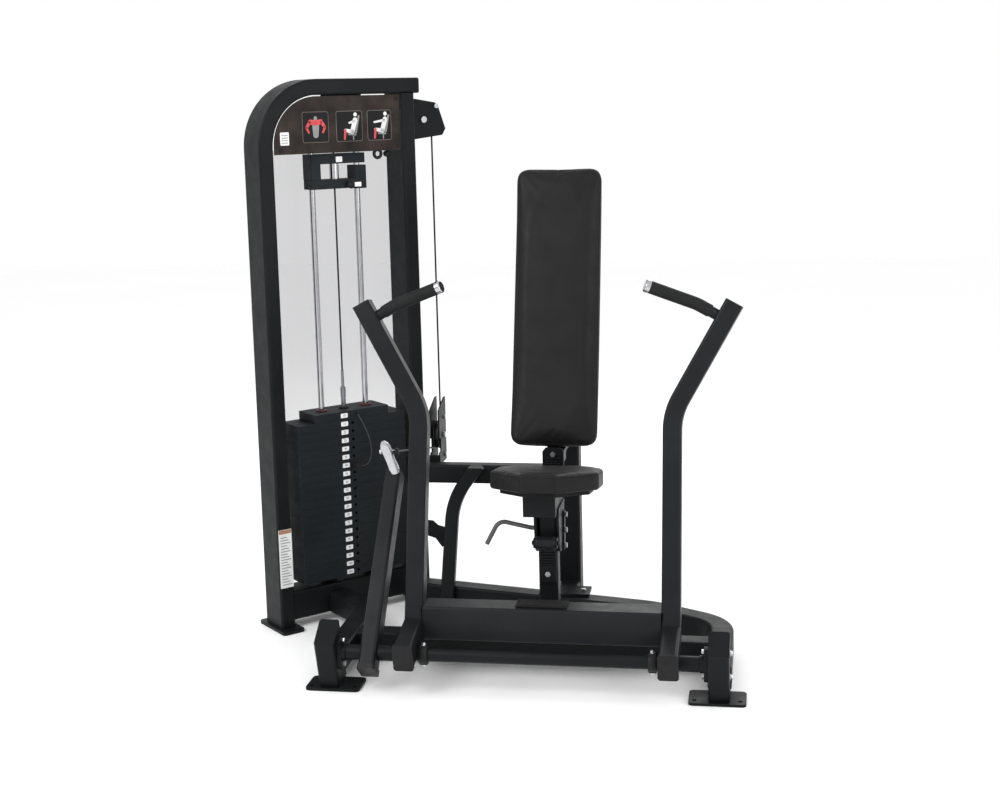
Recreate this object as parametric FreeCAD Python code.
import FreeCAD, Part
import math
import os

# Selectorised chest press machine, millimetres, +Z up.
# The user sits facing -Y, and the weight tower stands behind the user's right shoulder (-X side).
# Working frame: x = 0 on the user's middle plane, y = 0 at the front edge of the front feet,
# z = 0 on the floor.
# At export everything moves by ROW_ORIGIN, so that the row's origin is the middle of the footprint.

V = FreeCAD.Vector
X, Y, Z = V(1, 0, 0), V(0, 1, 0), V(0, 0, 1)
ROW_ORIGIN = V(-213.67, 512.85, 0)

# ---- driving dimensions ----
CLEAR = 0.3                    # gap kept between surfaces on different bodies
WALL = 3.0                     # wall of the frame tubes
CORNER = 9.0                   # outer corner radius of the frame tubes
PLATE = 8.0                    # foot, bracket and gusset plate

# weight tower, in its own axes: s across its width, b through its depth, turned 45 degrees
TOWER_CORNER = V(-932, 497, 0)
TOWER_TURN = 45
TOWER_HEIGHT = 1830
TOWER_DEPTH = 118
UPRIGHT = 52                   # width of the uprights and height of the top beam
RIGHT_S = 541                  # where the right upright starts
BEAM_END_S = 608               # free end of the top beam
ARCH_R = 194                   # bend at the upper left, on the tube's centre line
TOWER_BASE_Z = (27.5, 127.5)
TOWER_BASE_B = (9, 109)
SHIELD_T = 4
SHIELD_EDGE = 10               # shield stops this far inside the frame's outline
SHIELD_TOP = 1600
PLACARD_LOW = 1588
ROD_TOP = 1612
BUMPER_R = 28
ADDON_BORE_R = 13              # for the cable through the add-on weights
FOOT_T = 10

# weight stack
STACK_S = 302                  # centre of the stack across the tower
STACK_B = TOWER_DEPTH / 2
PLATE_PITCH = 28.7
PLATE_GAP = 0.5
HEAD_TOP = 718
PLATES = 20                    # head plate included
SELECTED = 7                   # plates that the pin lifts as it stands, head plate included
HEAD_WIDTH = 286
WEIGHT_WIDTH = 418
WEIGHT_DEPTH = 117
ROD_OFFSET = 86
ROD_R = 10
ROD_HOLE_R = 12.5
STEM_R = 12
STEM_HOLE_R = 14.5
PIN_R = 4.7
PIN_HOLE_R = 5.5
FITTING_TOP = 850
ADDON_DEPTH = 60

# cable and pulleys
CABLE_R = 3
SHEAVE_R = 45                  # cable centre line round each pulley
SHEAVE_RIM = 50
SHEAVE_W = 24
AXLE_R = 6
TOP_SHEAVE_Z = 1687
RISER_S = 695                  # where the cable runs up beside the tower
LOW_SHEAVE_Z = 578

# press arm, turning about the pivot shaft
PIVOT_Y, PIVOT_Z = 30, 115
SHAFT_R = 15
ARM_X = 389                    # arm centre lines stand this far from the middle plane
ARM_TOP_X = 572
ARM_BEND = 190                 # bend of the masts, on the centre line
HANDLE_BEND = 160
ARM_W, ARM_D = 57, 62
FOOT_H = 80                    # height of the arm's foot tube
HANDLE_R = 17
GRIP_R = 19.5
LEVER_X = -505
LEVER_W, LEVER_D = 50, 70
LEVER_LEAN = 40.3              # degrees behind the vertical
LEVER_LEN = 600

# base frame
BASE_Z = (25, 100)             # bottom and top of the base tubes
BASE_W = 70
CROSS_Y = (250, 320)
LEFT_RAIL_X = -640
LINK_S, LINK_REACH = 224, 190  # link tube: where it leaves the tower, and how far forward it comes
PEDESTAL_X = (-633, 532)
PEDESTAL_W = 62
FOOT_SIZE = (167, 104)
FOOT_SHIFT = 11                # foot plates stand this far inwards of the pedestals, half as far on the right
ANCHOR_R = 6.5
ANCHOR_X = 132                 # between the two anchor holes of a front foot

# seat, back and their posts
BACK_POST = 75
BACK_POST_Y = 870
BEAM_Z = (431, 497)
SEAT_POST = 60
SEAT_POST_Y = 335
SEAT_TILT = 9                  # seat front is higher
SEAT_Z = 518                   # height about which the seat tilts
SEAT_BOARD_Z = 30              # seat board's underside above that, square to the tilt
SEAT_PAD_T = 62
PAD_LEAN = 18                  # back pad behind the vertical
PAD_W, PAD_LEN, PAD_T = 285, 915, 58

BOLT_R = 5
BOLT_HEAD_R = 9
BOLT_HEAD_H = 7

# pieces with holes for the shanks of the frame bolts
BOLTED = ("back_pad_brackets", "back_post", "flange_bearings", "lower_pulley_bracket", "ratchet_strip")

shapes = {}


# ---- helpers ----
def tower(shape):
    """Move a shape from the tower's axes (s, b, z) into the working frame."""
    place = FreeCAD.Placement(TOWER_CORNER, FreeCAD.Rotation(Z, TOWER_TURN))
    shape.Placement = place.multiply(shape.Placement)
    return shape


def tower_point(s, b, z):
    turn = FreeCAD.Rotation(Z, TOWER_TURN)
    return TOWER_CORNER + turn.multVec(V(s, b, z))


def box(x0, x1, y0, y1, z0, z1):
    return Part.makeBox(x1 - x0, y1 - y0, z1 - z0, V(x0, y0, z0))


def soft_box(x0, x1, y0, y1, z0, z1, radius):
    """A box with all its edges rounded."""
    body = box(x0, x1, y0, y1, z0, z1)
    return body.makeFillet(radius, body.Edges)


def rod(start, end, radius):
    axis = end - start
    return Part.makeCylinder(radius, axis.Length, start, axis)


def ring(start, end, outer, inner):
    return rod(start, end, outer).cut(rod(start, end, inner))


def rectangle(width, depth, radius):
    """Rounded rectangle in the XY plane, centred on the origin."""
    hw, hd, r = width / 2, depth / 2, radius
    edges = []
    corners = [(hw, hd, 0), (-hw, hd, 90), (-hw, -hd, 180), (hw, -hd, 270)]
    points = []
    for cx, cy, start in corners:
        centre = V(cx - math.copysign(r, cx), cy - math.copysign(r, cy), 0)
        arc = [centre + V(r * math.cos(math.radians(start + a)), r * math.sin(math.radians(start + a)), 0)
               for a in (0, 45, 90)]
        points.append(arc)
    for i, arc in enumerate(points):
        edges.append(Part.Arc(*arc).toShape())
        edges.append(Part.LineSegment(arc[2], points[(i + 1) % 4][0]).toShape())
    return Part.Wire(edges)


def frame_at(start, direction, side):
    """Placement with local Z along direction and local X as near side as it can be."""
    direction = V(direction).normalize()
    across = direction.cross(V(side)).normalize()
    along = across.cross(direction)
    return FreeCAD.Placement(start, FreeCAD.Rotation(along, across, direction, "ZXY"))


def bar(start, end, width, depth, side=X, radius=CORNER):
    """Solid rounded bar; width runs along side."""
    section = rectangle(width, depth, radius)
    body = Part.Face(section).extrude(V(0, 0, (end - start).Length))
    body.Placement = frame_at(start, end - start, side)
    return body


def tube(start, end, width, depth, side=X, radius=CORNER, wall=WALL):
    inner = bar(start, end, width - 2 * wall, depth - 2 * wall, side, radius - wall)
    return bar(start, end, width, depth, side, radius).cut(inner)


def rounded_path(points, radii):
    """Straight runs joined by tangent arcs; one radius for each inner point."""
    edges = []
    last = points[0]
    for i, radius in enumerate(radii):
        before, corner, after = points[i], points[i + 1], points[i + 2]
        back = (before - corner).normalize()
        ahead = (after - corner).normalize()
        half = back.getAngle(ahead) / 2
        trim = radius / math.tan(half)
        enter, leave = corner + back * trim, corner + ahead * trim
        middle_dir = (back + ahead).normalize()
        centre = corner + middle_dir * (radius / math.sin(half))
        edges.append(Part.LineSegment(last, enter).toShape())
        edges.append(Part.Arc(enter, centre - middle_dir * radius, leave).toShape())
        last = leave
    edges.append(Part.LineSegment(last, points[-1]).toShape())
    return Part.Wire(edges)


def sweep(path, section, start, direction, side):
    section.Placement = frame_at(start, direction, side)
    return path.makePipeShell([section], True, False)


def bent_bar(points, radii, width, depth, side, radius=CORNER):
    path = rounded_path(points, radii)
    return sweep(path, rectangle(width, depth, radius), points[0], points[1] - points[0], side)


def bent_tube(points, radii, width, depth, side, radius=CORNER, wall=WALL):
    inner = bent_bar(points, radii, width - 2 * wall, depth - 2 * wall, side, radius - wall)
    return bent_bar(points, radii, width, depth, side, radius).cut(inner)


def round_tube(points, radii, radius):
    path = rounded_path(points, radii)
    circle = Part.Wire(Part.Circle(V(0, 0, 0), Z, radius).toShape())
    return sweep(path, circle, points[0], points[1] - points[0], Y.cross(points[1] - points[0]))


def polygon(points):
    return Part.Face(Part.makePolygon(list(points) + [points[0]]))


def plate_yz(x0, x1, outline):
    """Plate between x0 and x1 with an outline of (y, z) points."""
    return polygon([V(x0, y, z) for y, z in outline]).extrude(V(x1 - x0, 0, 0))


def bolt(point, direction, length):
    """Hex-head bolt: the head stands on the surface at point, the shank goes in against direction."""
    direction = V(direction).normalize()
    angles = [math.radians(60 * i) for i in range(6)]
    corners = [V(BOLT_HEAD_R * math.cos(a), BOLT_HEAD_R * math.sin(a), 0) for a in angles]
    head = polygon(corners).extrude(V(0, 0, BOLT_HEAD_H))
    head.Placement = frame_at(point, direction, X if abs(direction.x) < 0.9 else Y)
    return head.fuse(rod(point - direction * length, point + direction, BOLT_R)).removeSplitter()


def largest(shape):
    return max(shape.Solids, key=lambda solid: solid.Volume)


def tower_block():
    """Outside of the right upright, for trimming what is welded against it."""
    return tower(box(RIGHT_S, RIGHT_S + UPRIGHT, 0, TOWER_DEPTH, 0, TOWER_HEIGHT))


def base_block():
    return tower(box(UPRIGHT, RIGHT_S, TOWER_BASE_B[0], TOWER_BASE_B[1], 0, TOWER_BASE_Z[1]))


def add(name, *solids):
    shapes[name] = solids[0] if len(solids) == 1 else Part.makeCompound(list(solids))


# ---- weight tower ----
def make_tower():
    half = UPRIGHT / 2
    mid_b = TOWER_DEPTH / 2
    top_z = TOWER_HEIGHT - half
    arch = bent_tube([V(half, mid_b, FOOT_T), V(half, mid_b, top_z), V(BEAM_END_S, mid_b, top_z)],
                     [ARCH_R], UPRIGHT, TOWER_DEPTH, X)
    add("tower_arch", tower(arch))

    post = tube(V(RIGHT_S + half, mid_b, FOOT_T), V(RIGHT_S + half, mid_b, TOWER_HEIGHT - UPRIGHT),
                UPRIGHT, TOWER_DEPTH)
    cable_slot = box(RIGHT_S - 5, RIGHT_S + UPRIGHT + 5, mid_b - 12, mid_b + 12,
                     TOP_SHEAVE_Z + SHEAVE_R - 16, TOP_SHEAVE_Z + SHEAVE_R + 16)
    add("tower_right_upright", tower(post.cut(cable_slot)))

    low, high = TOWER_BASE_Z
    front, back = TOWER_BASE_B
    middle = (low + high) / 2
    base = tube(V(UPRIGHT, mid_b, middle), V(RIGHT_S, mid_b, middle), high - low, back - front, side=Z)
    add("tower_base_beam", tower(base))

    cap = bar(V(BEAM_END_S, mid_b, top_z), V(BEAM_END_S + 4, mid_b, top_z), UPRIGHT, TOWER_DEPTH, side=Z)
    add("top_beam_cap", tower(cap))

    # the exercise placard fills the top of the arch, behind the front faces
    board = box(UPRIGHT + 6, RIGHT_S - 6, 8, 12, PLACARD_LOW, TOWER_HEIGHT - UPRIGHT - 4)
    corner = [e for e in board.Edges
              if abs(e.Vertexes[0].X - e.Vertexes[-1].X) < 0.1
              and abs(e.Vertexes[0].Z - e.Vertexes[-1].Z) < 0.1
              and e.CenterOfMass.x < 100 and e.CenterOfMass.z > 1700]
    add("exercise_placard", tower(board.makeFillet(ARCH_R - half - 8, corner)))

    # clear rear shield, fixed to the rear faces of the uprights, clear of the plates
    shield = box(SHIELD_EDGE, RIGHT_S + UPRIGHT - SHIELD_EDGE, TOWER_DEPTH, TOWER_DEPTH + SHIELD_T,
                 TOWER_BASE_Z[1] + SHIELD_EDGE, SHIELD_TOP)
    add("rear_shield", tower(shield))


def make_stack():
    rods = []
    for side in (-1, 1):
        s = STACK_S + side * ROD_OFFSET
        rods.append(tower(rod(V(s, STACK_B, TOWER_BASE_Z[1]), V(s, STACK_B, ROD_TOP), ROD_R)))
    add("guide_rods", *rods)

    bumpers = []
    bottom_of_stack = HEAD_TOP - PLATES * PLATE_PITCH + PLATE_GAP
    for side in (-1, 1):
        s = STACK_S + side * ROD_OFFSET
        foot = V(s, STACK_B, TOWER_BASE_Z[1])
        bumpers.append(tower(ring(foot, V(s, STACK_B, bottom_of_stack), BUMPER_R, ROD_R + 0.2)))
    add("stack_bumpers", *bumpers)

    def weight(index):
        """Plate number index, 0 being the head plate."""
        top = HEAD_TOP - index * PLATE_PITCH
        low = top - PLATE_PITCH + PLATE_GAP
        width = HEAD_WIDTH if index == 0 else WEIGHT_WIDTH
        front = STACK_B - WEIGHT_DEPTH / 2
        body = box(STACK_S - width / 2, STACK_S + width / 2, front, front + WEIGHT_DEPTH, low, top)
        edges = [e for e in body.Edges if abs(e.Vertexes[0].Z - e.Vertexes[-1].Z) > 1]
        body = body.makeFillet(4, edges)
        for side in (-1, 1):
            s = STACK_S + side * ROD_OFFSET
            body = body.cut(rod(V(s, STACK_B, low - 1), V(s, STACK_B, top + 1), ROD_HOLE_R))
        if index:
            body = body.cut(rod(V(STACK_S, STACK_B, low - 1), V(STACK_S, STACK_B, top + 1), STEM_HOLE_R))
            middle = (low + top) / 2
            body = body.cut(rod(V(STACK_S, front - 1, middle), V(STACK_S, STACK_B, middle), PIN_HOLE_R))
        return tower(body)

    add("head_plate", weight(0))
    add("lifted_plates", *[weight(i) for i in range(1, SELECTED)])
    add("resting_plates", *[weight(i) for i in range(SELECTED, PLATES)])

    head_low = HEAD_TOP - PLATE_PITCH + PLATE_GAP
    stem = rod(V(STACK_S, STACK_B, bottom_of_stack + 4), V(STACK_S, STACK_B, head_low), STEM_R)
    for index in range(1, PLATES):
        z = HEAD_TOP - (index + 0.5) * PLATE_PITCH
        stem = stem.cut(rod(V(STACK_S, STACK_B - 20, z), V(STACK_S, STACK_B + 20, z), PIN_HOLE_R))
    # the coupling between the stem and the cable: lower end, height and radius of each step
    steps = [(HEAD_TOP, 12, 10), (HEAD_TOP + 12, 26, 8), (HEAD_TOP + 38, 36, 9), (HEAD_TOP + 74, 58, 5)]
    fitting = None
    for z, height, radius in steps:
        step = Part.makeCylinder(radius, height, V(STACK_S, STACK_B, z))
        fitting = step if fitting is None else fitting.fuse(step)
    add("selector_stem", tower(stem), tower(fitting.removeSplitter()))

    pin_z = HEAD_TOP - (SELECTED - 0.5) * PLATE_PITCH
    face_b = STACK_B - WEIGHT_DEPTH / 2
    knob_r, knob_length = 9, 34
    knob_end = face_b - knob_length - CLEAR
    pin = rod(V(STACK_S, face_b - knob_length / 2, pin_z), V(STACK_S, STACK_B + 6, pin_z), PIN_R)
    knob = Part.makeCylinder(knob_r, knob_length, V(STACK_S, knob_end, pin_z), Y)
    knob = knob.makeFillet(3, [e for e in knob.Edges if abs(e.CenterOfMass.y - knob_end) < 0.1])
    add("selector_pin", tower(pin.fuse(knob).removeSplitter()))
    return pin_z, face_b


def make_addons():
    """Two small weights parked at the top of the guide rods, the upper one standing on the lower."""
    def block(s0, s1, z0, z1):
        body = box(s0, s1, STACK_B - ADDON_DEPTH / 2, STACK_B + ADDON_DEPTH / 2, z0, z1)
        return body.makeFillet(4, [e for e in body.Edges if abs(e.Vertexes[0].Z - e.Vertexes[-1].Z) > 1])

    left, right = STACK_S - ROD_OFFSET, STACK_S + ROD_OFFSET
    lower = block(left - 15, right, 1468, 1499.5)
    lower = lower.fuse(block(right - 20, right + 22, 1465, 1543))
    upper = block(left - 16, right + 18, 1551, 1584)
    upper = upper.fuse(block(left - 16, left + 21, 1500, 1560))
    for name, body in (("addon_weight_lower", lower), ("addon_weight_upper", upper)):
        body = body.removeSplitter()
        for s in (left, right):
            body = body.cut(rod(V(s, STACK_B, 1440), V(s, STACK_B, SHIELD_TOP), ROD_R + 1))
        body = body.cut(rod(V(STACK_S, STACK_B, 1440), V(STACK_S, STACK_B, SHIELD_TOP), ADDON_BORE_R))
        add(name, tower(body))
    low, high = V(STACK_S, STACK_B, 1499.5), V(STACK_S, STACK_B, 1550.5)
    add("addon_collar", tower(ring(low, high, ADDON_BORE_R + 3, ADDON_BORE_R - 1)))


# ---- cable route and pulleys ----
def sheave(centre, axis):
    """Grooved pulley with a bore for its axle bolt."""
    half = SHEAVE_W / 2
    r_groove = SHEAVE_R - CABLE_R - CLEAR
    profile = [V(AXLE_R + CLEAR, 0, -half), V(20, 0, -half), V(22, 0, -half + 4),
               V(SHEAVE_RIM - 9, 0, -half + 4),
               V(SHEAVE_RIM, 0, -half + 3), V(SHEAVE_RIM, 0, -5), V(r_groove, 0, -2.5),
               V(r_groove, 0, 2.5), V(SHEAVE_RIM, 0, 5), V(SHEAVE_RIM, 0, half - 3),
               V(SHEAVE_RIM - 9, 0, half - 4), V(22, 0, half - 4), V(20, 0, half), V(AXLE_R + CLEAR, 0, half)]
    body = polygon(profile).revolve(V(0, 0, 0), Z, 360)
    body.Placement = frame_at(centre, axis, Z if abs(V(axis).z) < 0.5 else X)
    return body


def make_pulleys(bolts):
    riser = tower_point(RISER_S, STACK_B, 0)
    low_centre = V(riser.x, riser.y - SHEAVE_R, LOW_SHEAVE_Z)
    add("lower_pulley", sheave(low_centre, X))
    right_s = RISER_S - SHEAVE_R
    left_s = STACK_S + SHEAVE_R
    add("top_pulley_right", tower(sheave(V(right_s, STACK_B, TOP_SHEAVE_Z), Y)))
    add("top_pulley_left", tower(sheave(V(left_s, STACK_B, TOP_SHEAVE_Z), Y)))

    # two plates either side of the right pulley, bolted to the outer face of the right upright
    outer = RIGHT_S + UPRIGHT
    outline = [(outer, 1763), (700, 1745), (712, 1738), (742, 1654), (728, 1632), (outer, 1618)]
    cheeks = []
    for b in (STACK_B - SHEAVE_W / 2 - 1 - 5, STACK_B + SHEAVE_W / 2 + 1):
        face = polygon([V(s, b, z) for s, z in outline])
        cheeks.append(tower(face.extrude(V(0, 5, 0))))
    web = box(outer, outer + 5, STACK_B - SHEAVE_W / 2 - 1, STACK_B + SHEAVE_W / 2 + 1, 1622, 1640)
    housing = cheeks[0].fuse(cheeks[1]).fuse(tower(web)).removeSplitter()
    cheek_b = STACK_B - SHEAVE_W / 2 - 6
    for s, z in ((right_s, TOP_SHEAVE_Z), (703, 1733)):
        axle = V(s, cheek_b, z)
        housing = housing.cut(tower(rod(axle - Y, axle + Y * 50, AXLE_R if s == right_s else BOLT_R)))
    add("top_pulley_housing", housing)
    axles = [tower(axle_bolt(V(s, cheek_b, TOP_SHEAVE_Z))) for s in (right_s, left_s)]
    bolts.append(tower(bolt(V(703, cheek_b, 1733), -Y, 2 * 6 + SHEAVE_W)))

    # hanger over the stack: two plates under the top beam, carrying the left pulley and the rods' top ends
    under = TOWER_HEIGHT - UPRIGHT
    hanger = box(STACK_S - 120, STACK_S + 120, STACK_B - 45, STACK_B + 40, 1600, 1612)
    for b in (STACK_B - SHEAVE_W / 2 - 6, STACK_B + SHEAVE_W / 2 + 1):
        hanger = hanger.fuse(box(left_s - 75, left_s + 60, b, b + 5, 1610, under))
    for side in (-1, 1):
        s = STACK_S + side * ROD_OFFSET
        hanger = hanger.cut(rod(V(s, STACK_B, 1590), V(s, STACK_B, 1620), ROD_R))
    hanger = hanger.cut(rod(V(STACK_S, STACK_B, 1590), V(STACK_S, STACK_B, 1620), 12))
    axle = V(left_s, cheek_b, TOP_SHEAVE_Z)
    hanger = hanger.cut(rod(axle - Y, axle + Y * 50, AXLE_R))
    add("rod_hanger", tower(hanger.removeSplitter()))

    # lower bracket: two plates beside the right upright with their tops rising to the back
    front, back = low_centre.y - 62, riser.y + 6
    outline = [(front, 480), (back, 480), (back, 706), (back - 22, 706), (front, 676)]
    plates = []
    gap = SHEAVE_W / 2 + 1
    for x0, x1 in ((riser.x - gap - 5, riser.x - gap), (riser.x + gap, riser.x + gap + 5)):
        plates.append(plate_yz(x0, x1, outline))
    web = box(riser.x - gap - 30, riser.x + gap, front, front + 6, 485, 515)
    bracket = plates[0].fuse(plates[1]).fuse(web)
    right_face = riser.x + gap + 5
    bracket = bracket.cut(rod(V(right_face - 50, low_centre.y, LOW_SHEAVE_Z),
                              V(right_face + 1, low_centre.y, LOW_SHEAVE_Z), AXLE_R))
    bracket = bracket.cut(box(riser.x - 60, riser.x + 60, front - 1, low_centre.y - 40, 524, 575))
    add("lower_pulley_bracket", largest(bracket.cut(tower_block()).removeSplitter()))
    low_axle = rod(V(riser.x - gap - 5, low_centre.y, LOW_SHEAVE_Z),
                   V(right_face, low_centre.y, LOW_SHEAVE_Z), AXLE_R)
    head_place = V(right_face, low_centre.y, LOW_SHEAVE_Z)
    low_head = rod(head_place, head_place + X * 8, 11)
    add("pulley_axles", *axles, low_axle.fuse(low_head).removeSplitter())
    for z in (505, 640):
        bolts.append(bolt(V(right_face, riser.y - 30, z), X, 5))
    return riser, low_centre, right_s, left_s


def axle_bolt(head):
    """Axle through both cheeks, with a round head in front; in the tower's axes."""
    width = SHEAVE_W + 2 * 6
    shank = rod(head, head + Y * width, AXLE_R)
    return shank.fuse(rod(head - Y * 8, head, 11)).removeSplitter()


def make_cables(riser, low_centre, right_s, left_s, clevis_point):
    # from the foot of the lower pulley up the side, over both top pulleys, to the top of the stack's run
    along = (tower_point(1, 0, 0) - tower_point(0, 0, 0))
    start = tangent_below(low_centre, clevis_point)
    turn = (start - low_centre).normalize()
    half_way = (turn + Y).normalize()
    edges = [Part.Arc(start, low_centre + half_way * SHEAVE_R, V(riser.x, riser.y, LOW_SHEAVE_Z)).toShape()]
    foot, crown = V(riser.x, riser.y, LOW_SHEAVE_Z), V(riser.x, riser.y, TOP_SHEAVE_Z)
    edges.append(Part.LineSegment(foot, crown).toShape())
    right = tower_point(right_s, STACK_B, TOP_SHEAVE_Z)
    left = tower_point(left_s, STACK_B, TOP_SHEAVE_Z)
    diag = math.sqrt(0.5) * SHEAVE_R
    edges.append(Part.Arc(V(riser.x, riser.y, TOP_SHEAVE_Z), right + along * diag + Z * diag,
                          right + Z * SHEAVE_R).toShape())
    edges.append(Part.LineSegment(right + Z * SHEAVE_R, left + Z * SHEAVE_R).toShape())
    end = left - along * SHEAVE_R
    edges.append(Part.Arc(left + Z * SHEAVE_R, left - along * diag + Z * diag, end).toShape())
    path = Part.Wire(edges)
    across = (V(start.x, clevis_point.y, clevis_point.z) - start).normalize()
    circle = Part.Wire(Part.Circle(V(0, 0, 0), Z, CABLE_R).toShape())
    cable = sweep(path, circle, start, across * -1, X)
    add("return_cable", cable)
    print("return cable", "run", round(path.Length), "volume ratio",
          round(cable.Volume / (path.Length * math.pi * CABLE_R ** 2), 3))

    # the run to the lever grows as the arm moves: an outer length hinged at the clevis slides over an inner
    # length hinged at the lower pulley
    run = (start - clevis_point).normalize()
    add("lever_cable_outer", ring(clevis_point + run * 8, start - run * 14, CABLE_R + 0.2, CABLE_R - 0.1))
    add("lever_cable_inner", rod(clevis_point + run * 10, start - run * CLEAR * 2, CABLE_R - 0.6))
    print("clevis", clevis_point, "tangent", start, "run", round((start - clevis_point).Length, 1))
    fitting = tower_point(STACK_S, STACK_B, FITTING_TOP)
    add("stack_cable", rod(fitting, end, CABLE_R))


def tangent_below(centre, point):
    """Point where a straight cable from point meets the underside of the lower pulley."""
    dy, dz = point.y - centre.y, point.z - centre.z
    reach = math.hypot(dy, dz)
    towards = math.atan2(dz, dy)
    angle = towards + math.acos(SHEAVE_R / reach)
    return V(centre.x, centre.y + SHEAVE_R * math.cos(angle), centre.z + SHEAVE_R * math.sin(angle))


# ---- base frame ----
def make_base():
    low, high = BASE_Z
    middle = (low + high) / 2
    height = high - low

    # one welded piece: link square to the tower's base beam, left rail and front cross tube
    start = tower_point(LINK_S, TOWER_BASE_B[0], middle)
    end = tower_point(LINK_S, -LINK_REACH, middle)
    link = tube(start, end, BASE_W, height, side=Z.cross((end - start).normalize()))
    rail_end = V(LEFT_RAIL_X, end.y + BASE_W / 2, middle)
    rail = tube(V(LEFT_RAIL_X, 66, middle), rail_end, BASE_W, height)
    rail = rail.fuse(bar(rail_end - Y * WALL, rail_end, BASE_W, height))
    cross_y = sum(CROSS_Y) / 2
    cross = tube(V(LEFT_RAIL_X + BASE_W / 2, cross_y, middle), V(PEDESTAL_X[1] - BASE_W / 2, cross_y, middle),
                 height, CROSS_Y[1] - CROSS_Y[0], side=Z)
    add("base_side_frame", rail.fuse([link, cross]).removeSplitter())

    # long base beam from the tower's right foot, bent forward to the right pedestal
    points = [V(-560, 806, middle), V(300, 610, middle), V(PEDESTAL_X[1], 470, middle),
              V(PEDESTAL_X[1], 66, middle)]
    beam = bent_tube(points, [300, 150], height, BASE_W, Z)
    add("base_beam", largest(beam.cut([tower_block(), base_block()])))


def pedestal(x):
    """Short post leaning forward, its top cut at a slant and capped."""
    foot = V(x, 62, PLATE)
    crown = V(x, 14, 168)
    body = bar(foot, crown + (crown - foot) * 0.4, PEDESTAL_W, 92, X)
    slant = polygon([V(x - 100, -130, 110), V(x - 100, -24, 158), V(x - 100, 60, 215), V(x - 100, 60, 300),
                     V(x - 100, -130, 300)]).extrude(V(200, 0, 0))
    body = body.cut(slant)
    return body.cut(box(x - 100, x + 100, -100, 200, -50, PLATE))


def foot_plate(x, y, width, depth, thickness):
    """Floor plate with rounded corners and two anchor holes."""
    body = box(x - width / 2, x + width / 2, y, y + depth, 0, thickness)
    edges = [e for e in body.Edges if abs(e.Vertexes[0].Z - e.Vertexes[-1].Z) > 1]
    return body.makeFillet(14, edges)


def make_feet():
    feet = []
    for x in PEDESTAL_X:
        centre = x + (FOOT_SHIFT if x < 0 else -FOOT_SHIFT / 2)
        plate = foot_plate(centre, 0, FOOT_SIZE[0], FOOT_SIZE[1], PLATE)
        for dx in (-ANCHOR_X / 2, ANCHOR_X / 2):
            plate = plate.cut(rod(V(centre + dx, 24, -1), V(centre + dx, 24, 20), ANCHOR_R))
        feet.append(plate)
    for s0, s1 in ((-14, 66), (RIGHT_S - 14, RIGHT_S + 66)):
        plate = box(s0, s1, -40, TOWER_DEPTH + 24, 0, FOOT_T)
        edges = [e for e in plate.Edges if abs(e.Vertexes[0].Z - e.Vertexes[-1].Z) > 1]
        plate = plate.makeFillet(12, edges)
        plate = plate.cut(rod(V((s0 + s1) / 2, -24, -1), V((s0 + s1) / 2, -24, 20), ANCHOR_R))
        feet.append(tower(plate))
    feet.append(foot_plate(0, BACK_POST_Y - 60, 150, 130, FOOT_T))
    add("foot_plates", *feet)


def make_pedestals(bolts):
    for name, x in zip(("left_pedestal", "right_pedestal"), PEDESTAL_X):
        other = shapes["base_side_frame"] if x < 0 else shapes["base_beam"]
        body = pedestal(x)
        side = 1 if x < 0 else -1
        inner_face = x + side * PEDESTAL_W / 2
        mouth = V(inner_face, PIVOT_Y, PIVOT_Z)
        bore = rod(mouth - X * side * 22, mouth + X * side, SHAFT_R + 6)
        add(name, largest(body.cut(bore).cut(other)))

    # oval flange bearings on the pedestals' inner faces
    units = []
    for x in PEDESTAL_X:
        side = 1 if x < 0 else -1
        face = x + side * PEDESTAL_W / 2
        outline = []
        for z_mid, start in ((PIVOT_Z + 30, 0), (PIVOT_Z - 30, 180)):
            for a in range(0, 181, 30):
                angle = math.radians(start + a)
                outline.append(V(face, PIVOT_Y + 27 * math.cos(angle), z_mid + 22 * math.sin(angle)))
        flange = polygon(outline).extrude(V(side * 12, 0, 0))
        hub = rod(V(face, PIVOT_Y, PIVOT_Z), V(face + side * 24, PIVOT_Y, PIVOT_Z), 26)
        unit = flange.fuse(hub).cut(rod(V(face - 1, PIVOT_Y, PIVOT_Z) - X * 40,
                                        V(face, PIVOT_Y, PIVOT_Z) + X * 40, SHAFT_R + 0.08))
        units.append(unit.removeSplitter())
        for dz in (-36, 36):
            bolts.append(bolt(V(face + side * 12, PIVOT_Y, PIVOT_Z + dz), X * side, 12))
    add("flange_bearings", *units)


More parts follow.
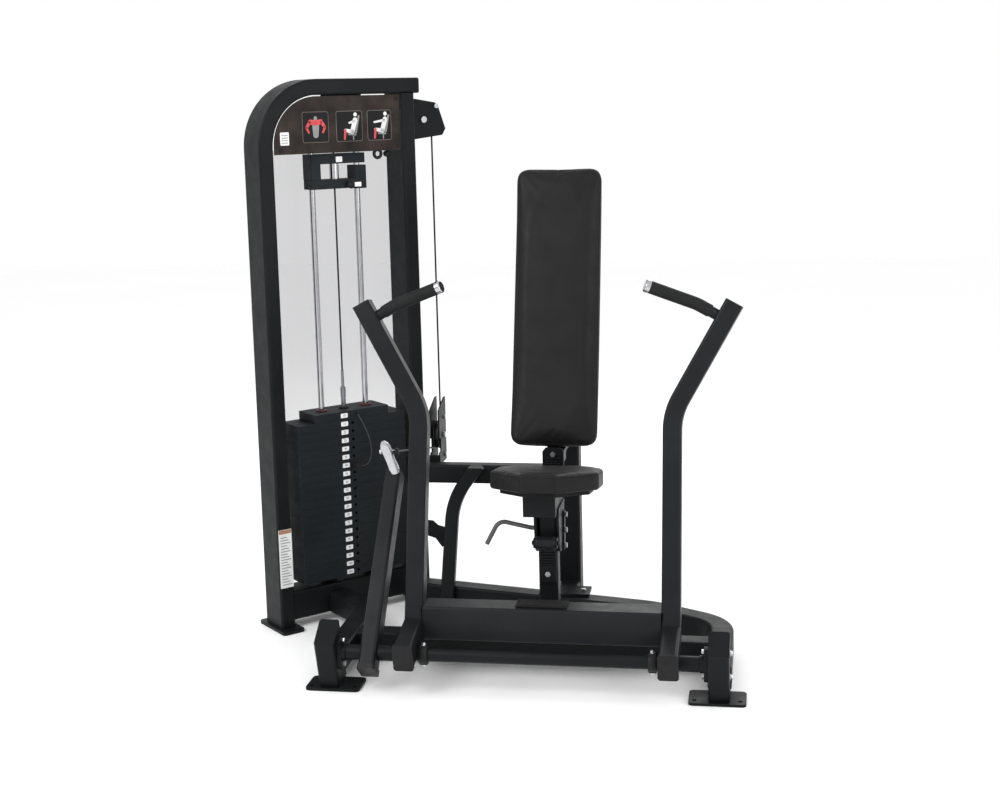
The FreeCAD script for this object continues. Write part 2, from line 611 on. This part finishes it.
# ---- rear frame: seat-level beam, back post, brace ----
def make_rear_frame(bolts):
    low, high = BEAM_Z
    middle = (low + high) / 2
    half = BACK_POST / 2
    post = tube(V(0, BACK_POST_Y, FOOT_T), V(0, BACK_POST_Y, 1430), BACK_POST, BACK_POST)
    stub = tube(V(0, 690, 62.5), V(0, BACK_POST_Y - half, 62.5), 75, 70, side=Z)
    plate = box(-84, 84, 655, 745, BASE_Z[1], BASE_Z[1] + 10)
    beam_filled = Part.makeSolid(shapes["base_beam"].Shells[0])
    stub = largest(stub.cut(beam_filled))
    cap = bar(V(0, BACK_POST_Y, 1430 - WALL), V(0, BACK_POST_Y, 1430), BACK_POST, BACK_POST)
    add("back_post", post.fuse([cap, stub, plate]).removeSplitter())
    beam_y = 884
    beam_end = -548
    beam = tube(V(beam_end, beam_y, middle), V(-half, beam_y, middle), high - low, BACK_POST - 20, side=Z)
    end_wall = bar(V(beam_end - WALL, beam_y, middle), V(beam_end, beam_y, middle), high - low, BACK_POST - 20,
                   side=Z)
    beam = beam.fuse(end_wall).removeSplitter()
    add("seat_level_beam", max(beam.cut(tower_block()).Solids, key=lambda part: part.CenterOfMass.x))

    # bent brace from the seat-level beam down to the base beam, with a hooked plate beside it
    front = beam_y - (BACK_POST - 20) / 2
    brace_path = [V(-312, front - 21, 504), V(-402, front - 32, 384), V(-412, 716, 40)]
    brace = bent_bar(brace_path, [220], 45, 45, X, 7)
    brace = brace.cut([box(-500, -200, front, front + 200, 200, 700), box(-500, -200, 0, 900, high, 700)])
    brace = largest(brace.cut(beam_filled))
    hook = [(-497, 316), (-470, 314), (-452, 298), (-430, 292),
            (-420, 225), (-440, 222), (-462, 252), (-497, 264)]
    guard = polygon([V(x, 792, z) for x, z in hook]).extrude(V(0, 8, 0))
    add("curved_brace", brace.fuse(guard).removeSplitter())

    for x in (-62, 62):
        bolts.append(bolt(V(x, 695, BASE_Z[1] + 10), Z, 8))


# ---- back pad ----
def lean_frame():
    """Placement of the back pad: local Z up along the pad, local Y out of its rear."""
    return FreeCAD.Placement(V(0, 450, 662), FreeCAD.Rotation(X, -PAD_LEAN))


def leaned(shape):
    shape.Placement = lean_frame().multiply(shape.Placement)
    return shape


def make_back(bolts):
    pad = box(-PAD_W / 2, PAD_W / 2, 0, PAD_T, 0, PAD_LEN)
    edges = [e for e in pad.Edges if abs(e.Vertexes[0].Y - e.Vertexes[-1].Y) > 1]
    pad = pad.makeFillet(26, edges)
    pad = pad.makeFillet(12, [e for e in pad.Edges if abs(e.CenterOfMass.y) < 0.1])
    add("back_pad", leaned(pad))
    board = box(-PAD_W / 2 + 14, PAD_W / 2 - 14, PAD_T + 0.5, PAD_T + 15.5, 14, PAD_LEN - 14)
    edges = [e for e in board.Edges if abs(e.Vertexes[0].Y - e.Vertexes[-1].Y) > 1]
    add("back_pad_board", leaned(board.makeFillet(14, edges)))

    # lower arm from the back post to the pad's foot, with a bolted plate in front
    rear = PAD_T + 15.5
    arm = tube(V(0, BACK_POST_Y - BACK_POST / 2, 640), V(0, 548, 640), 60, 50, side=X, radius=8)
    corners = [(-34, 580), (34, 580), (34, 640), (24, 652), (-24, 652), (-34, 640)]
    front_plate = polygon([V(x, 462, z) for x, z in corners]).extrude(V(0, PLATE, 0))
    neck = box(-30, 30, 462 + PLATE, 552, 598, 634)
    lower = arm.fuse([front_plate, neck]).removeSplitter()
    bolts.append(bolt(V(0, 462, 632), -Y, 10))

    # upper bracket between the board and the post
    high = lean_frame().multVec(V(0, rear, 760))
    low = lean_frame().multVec(V(0, rear, 640))
    post_face = BACK_POST_Y - BACK_POST / 2
    upper = plate_yz(-30, 30, [(high.y, high.z), (post_face, high.z - 30),
                               (post_face, high.z - 130), (low.y, low.z)])
    add("back_pad_brackets", lower, upper)


# ---- seat ----
def make_seat(bolts):
    half = SEAT_POST / 2
    post = tube(V(0, SEAT_POST_Y, BASE_Z[1] - 40), V(0, SEAT_POST_Y, 470), SEAT_POST, SEAT_POST)
    foot = box(-50, 50, CROSS_Y[1] - 40, SEAT_POST_Y + 45, BASE_Z[1], BASE_Z[1] + 8)
    post = post.cut(box(-80, 80, 0, 600, 0, BASE_Z[1]))
    add("seat_post", post.fuse(foot).removeSplitter())

    # ribbed ratchet strip on the post's front
    face = SEAT_POST_Y - half
    strip = box(-26, 26, face - 8, face, 262, 372)
    for i in range(5):
        z = 318 + 9 * i
        strip = strip.fuse(box(-22, 22, face - 13, face - 7, z, z + 4.5))
    add("ratchet_strip", strip.removeSplitter())
    bolts.append(bolt(V(0, face - 8, 290), -Y, 8))

    # carriage: two side plates and a box under the seat, sliding on the post
    cheeks = None
    for x0, x1 in ((-half - 9, -half - 1), (half + 1, half + 9)):
        cheek = plate_yz(x0, x1, [(296, 372), (320, 356), (400, 356), (408, 420),
                                  (420, 500), (290, 500), (280, 470)])
        cheeks = cheek if cheeks is None else cheeks.fuse(cheek)
    board_low = SEAT_Z + SEAT_BOARD_Z / math.cos(math.radians(SEAT_TILT))
    slope = math.tan(math.radians(SEAT_TILT))
    head = plate_yz(-66, 34, [(244, 484), (425, 484), (425, board_low - 125 * slope),
                              (244, board_low + 56 * slope)])
    back_bar = box(-half - 5, half + 5, SEAT_POST_Y + half + 1, SEAT_POST_Y + half + 9, 380, 470)
    link = plate_yz(half + 9, half + 15, [(360, 350), (384, 350), (396, 470), (372, 470)])
    add("seat_carriage", cheeks.fuse([head, back_bar, link]).removeSplitter())

    roller_y, roller_z, roller_half = 274, 392, half + 0.6
    add("seat_roller", rod(V(-roller_half, roller_y, roller_z), V(roller_half, roller_y, roller_z), 11))

    add("seat_bolts", *[bolt(V(half + 15, y, z), X, 12) for y, z in ((371, 362), (377, 410), (383, 458))])

    # release lever: bent rod on the carriage's left side
    start = V(-half - 9 - CLEAR, 322, 430)
    route = [start, start + V(-14, 0, 0), V(-150, 300, 457), V(-188, 285, 385)]
    add("seat_release_lever", round_tube(route, [10, 30], 7))

    # seat board and pad, higher at the front
    tilt = FreeCAD.Placement(V(0, 300, SEAT_Z), FreeCAD.Rotation(X, -SEAT_TILT))
    outline = [(-57, -212), (57, -212), (172, -60), (172, 80),
               (138, 134), (-138, 134), (-172, 80), (-172, -60)]
    pad = polygon([V(x, y, SEAT_BOARD_Z + 16) for x, y in outline]).extrude(V(0, 0, SEAT_PAD_T))
    pad = pad.makeFillet(14, pad.Edges)
    pad.Placement = tilt
    add("seat_pad", pad)
    board = polygon([V(x * 0.8, y * 0.8, SEAT_BOARD_Z) for x, y in outline]).extrude(V(0, 0, 15.5))
    board.Placement = tilt
    add("seat_board", board)


# ---- press arm ----
def press_arm(side):
    x = side * ARM_X
    heel = V(x, 150, 166)
    elbow = V(x, 300, 800)
    top = V(side * ARM_TOP_X, 350, 1125)
    mast_dir = (elbow - V(x, 135, 165)).normalize()
    base = elbow - mast_dir * 655
    front = V(x, -30, 127.5)
    foot_dir = (heel - front).normalize()
    tail = front + foot_dir * 192
    outer = bent_bar([base, elbow, top], [ARM_BEND], ARM_W, ARM_D, X).fuse(bar(front, tail, ARM_W, FOOT_H, X))
    inner_mast = bent_bar([base + mast_dir * 4, elbow, top], [ARM_BEND],
                          ARM_W - 2 * WALL, ARM_D - 2 * WALL, X, CORNER - WALL)
    inner_foot = bar(front, tail - foot_dir * WALL, ARM_W - 2 * WALL, FOOT_H - 2 * WALL, X, CORNER - WALL)
    arm = outer.cut([inner_mast, inner_foot])
    hole = rod(V(x - 60, PIVOT_Y, PIVOT_Z), V(x + 60, PIVOT_Y, PIVOT_Z), SHAFT_R)
    lip = bar(front - foot_dir * 12, front, ARM_W + 4, FOOT_H + 3, X)
    direction = (top - elbow).normalize()
    crown = bar(top, top + direction * 4, ARM_W, ARM_D, X)
    return arm.cut(hole).removeSplitter(), lip, crown


def arm_filled(side):
    """Upper run of the arm as a solid bar, for trimming the handle that is welded to it."""
    elbow = V(side * ARM_X, 300, 800)
    top = V(side * ARM_TOP_X, 350, 1125)
    return bar(elbow + (top - elbow) * 0.5, top, ARM_W, ARM_D, X)


def make_arms():
    caps = []
    grips, ends = [], []
    for side, name in ((-1, "left_press_arm"), (1, "right_press_arm")):
        arm, lip, crown = press_arm(side)
        caps += [lip, crown]

        # inward handle: curved root welded to the arm, grip on its straight part
        root = V(side * 530, 343, 1088)
        bend = V(side * 462, 331, 1128)
        tip = V(side * 318, 302, 1185)
        route = [root, bend, tip]
        handle = round_tube(route, [HANDLE_BEND], HANDLE_R).cut(arm)
        add(name, arm.fuse(largest(handle.cut(arm_filled(side)))).removeSplitter())
        run = (tip - bend).normalize()
        grip_start = bend + (root - bend).normalize() * 45
        sleeve = round_tube([grip_start, bend, tip - run * 6], [HANDLE_BEND], GRIP_R)
        grips.append(sleeve.cut(round_tube(route, [HANDLE_BEND], HANDLE_R)))
        end = Part.makeCylinder(GRIP_R + 1, 16, tip - run * 6, run)
        end = end.makeFillet(5, [e for e in end.Edges if (e.CenterOfMass - (tip + run * 10)).Length < 1])
        bore = rod(tip - run * 7, tip, HANDLE_R)
        ends.append(end.cut(bore))
    add("handle_grips", *grips)
    add("grip_end_caps", *ends)

    left_end = PEDESTAL_X[0] + PEDESTAL_W / 2 - 18
    right_end = PEDESTAL_X[1] - PEDESTAL_W / 2 + 18
    add("pivot_shaft", rod(V(left_end, PIVOT_Y, PIVOT_Z), V(right_end, PIVOT_Y, PIVOT_Z), SHAFT_R))
    inner = ARM_X - ARM_W / 2
    tubes = [ring(V(-inner, PIVOT_Y, PIVOT_Z), V(inner, PIVOT_Y, PIVOT_Z), 20, SHAFT_R)]
    torsion = tube(V(-inner, 158.5, 182.5), V(inner, 158.5, 182.5), 105, 93, side=Z)
    add("torsion_box", torsion)
    add("arm_bumper", soft_box(-78, 78, 128, 190, 235, 243, 3))

    # cable lever on the left end of the shaft
    lean = math.radians(LEVER_LEAN)
    up = V(0, math.sin(lean), math.cos(lean))
    axis_point = V(LEVER_X, PIVOT_Y, PIVOT_Z)
    lever = bar(axis_point - up * 46, axis_point + up * LEVER_LEN, LEVER_W, LEVER_D, X)
    hole = rod(axis_point - X * 60, axis_point + X * 60, SHAFT_R)
    add("cable_lever", lever.cut(hole))
    caps.append(bar(axis_point - up * 62, axis_point - up * 46, LEVER_W + 5, LEVER_D + 5, X))
    add("arm_end_caps", *caps)
    sleeve_ends = (PEDESTAL_X[0] + PEDESTAL_W / 2 + 24.6, LEVER_X - LEVER_W / 2)
    gap_ends = (LEVER_X + LEVER_W / 2, -ARM_X - ARM_W / 2)
    right_ends = (ARM_X + ARM_W / 2, PEDESTAL_X[1] - PEDESTAL_W / 2 - 24.6)
    for a, b in (sleeve_ends, gap_ends, right_ends):
        tubes.append(ring(V(a, PIVOT_Y, PIVOT_Z), V(b, PIVOT_Y, PIVOT_Z), 23, SHAFT_R))
    add("shaft_tubes", *tubes)
    return axis_point, up


def make_clevis(axis_point, up):
    """U-strap standing on the lever's head, holding the end of the cable between its legs."""
    foot = axis_point + up * (LEVER_LEN - 6) + V(0, -23, 20)
    top = V(foot.x, 385, 690)
    lean = (top - foot).normalize()
    legs = [bar(foot + X * dx, top + X * dx, 4, 30, X, 1.9) for dx in (-12, 12)]
    foot_bar = bar(foot - lean * 2, foot + lean * 6, 28, 30, X, 1.9)
    cross_pin = rod(top - lean * 40 - X * 20, top - lean * 40 + X * 20, 6)
    strap = legs[0].fuse([legs[1], foot_bar, cross_pin])
    add("cable_clevis", strap.cut(shapes["cable_lever"]).removeSplitter())
    return top - lean * 40


# ---- lanyard of the selector pin ----
def make_lanyard(pin_z, face_b):
    """Thin limp cord from an eyelet on the head plate to the pin's knob; route in the tower's axes."""
    eyelet = V(318, face_b - 8, 705)
    route = [V(318, face_b - 9, 704), V(325, face_b - 13, 689), V(336, face_b - 15, 665),
             V(350, face_b - 16, 634), V(359, face_b - 17, 600), V(361.5, face_b - 18, 568),
             V(354, face_b - 20, 541), V(337, face_b - 24, 526), V(316, face_b - 26, pin_z - 4)]
    radii = []
    runs = [(route[i + 1] - route[i]).Length for i in range(len(route) - 1)]
    for i in range(1, len(route) - 1):
        turn = (route[i] - route[i - 1]).getAngle(route[i + 1] - route[i])
        radii.append(0.45 * min(runs[i - 1], runs[i]) / math.tan(turn / 2))
    path = rounded_path(route, radii)
    circle = Part.Wire(Part.Circle(V(0, 0, 0), Z, 1.5).toShape())
    cord = sweep(path, circle, route[0], route[1] - route[0], X)
    print("lanyard radii", [round(r) for r in radii], "length", round(path.Length, 1), "volume ratio",
          round(cord.Volume / (path.Length * math.pi * 1.5 ** 2), 3))
    add("pin_lanyard", tower(cord))
    post = tower(rod(eyelet + V(0, 12, 0), eyelet + V(0, -1, 0), 4))
    add("head_plate", shapes["head_plate"].fuse(post).removeSplitter())


def main():
    bolts = []
    make_tower()
    pin_z, face_b = make_stack()
    make_addons()
    riser, low_centre, right_s, left_s = make_pulleys(bolts)
    make_base()
    make_feet()
    make_pedestals(bolts)
    make_rear_frame(bolts)
    make_back(bolts)
    make_seat(bolts)
    axis_point, up = make_arms()
    clevis_point = make_clevis(axis_point, up)
    make_cables(riser, low_centre, right_s, left_s, clevis_point)
    make_lanyard(pin_z, face_b)
    add("frame_bolts", *bolts)
    for name in BOLTED:
        shapes[name] = shapes[name].cut(bolts)
    shapes["seat_carriage"] = shapes["seat_carriage"].cut(shapes["seat_bolts"].Solids)

    os.makedirs("parts", exist_ok=True)
    whole = FreeCAD.BoundBox()
    for name, shape in shapes.items():
        whole.add(shape.BoundBox)
        placed = shape.copy()
        placed.translate(ROW_ORIGIN * -1)
        placed.exportStep("parts/" + name + ".step")
        if not shape.isValid():
            print("not valid:", name)
    print(len(shapes), "nodes; box", [round(v, 1) for v in (whole.XMin, whole.XMax, whole.YMin, whole.YMax,
                                                            whole.ZMin, whole.ZMax)])


main()
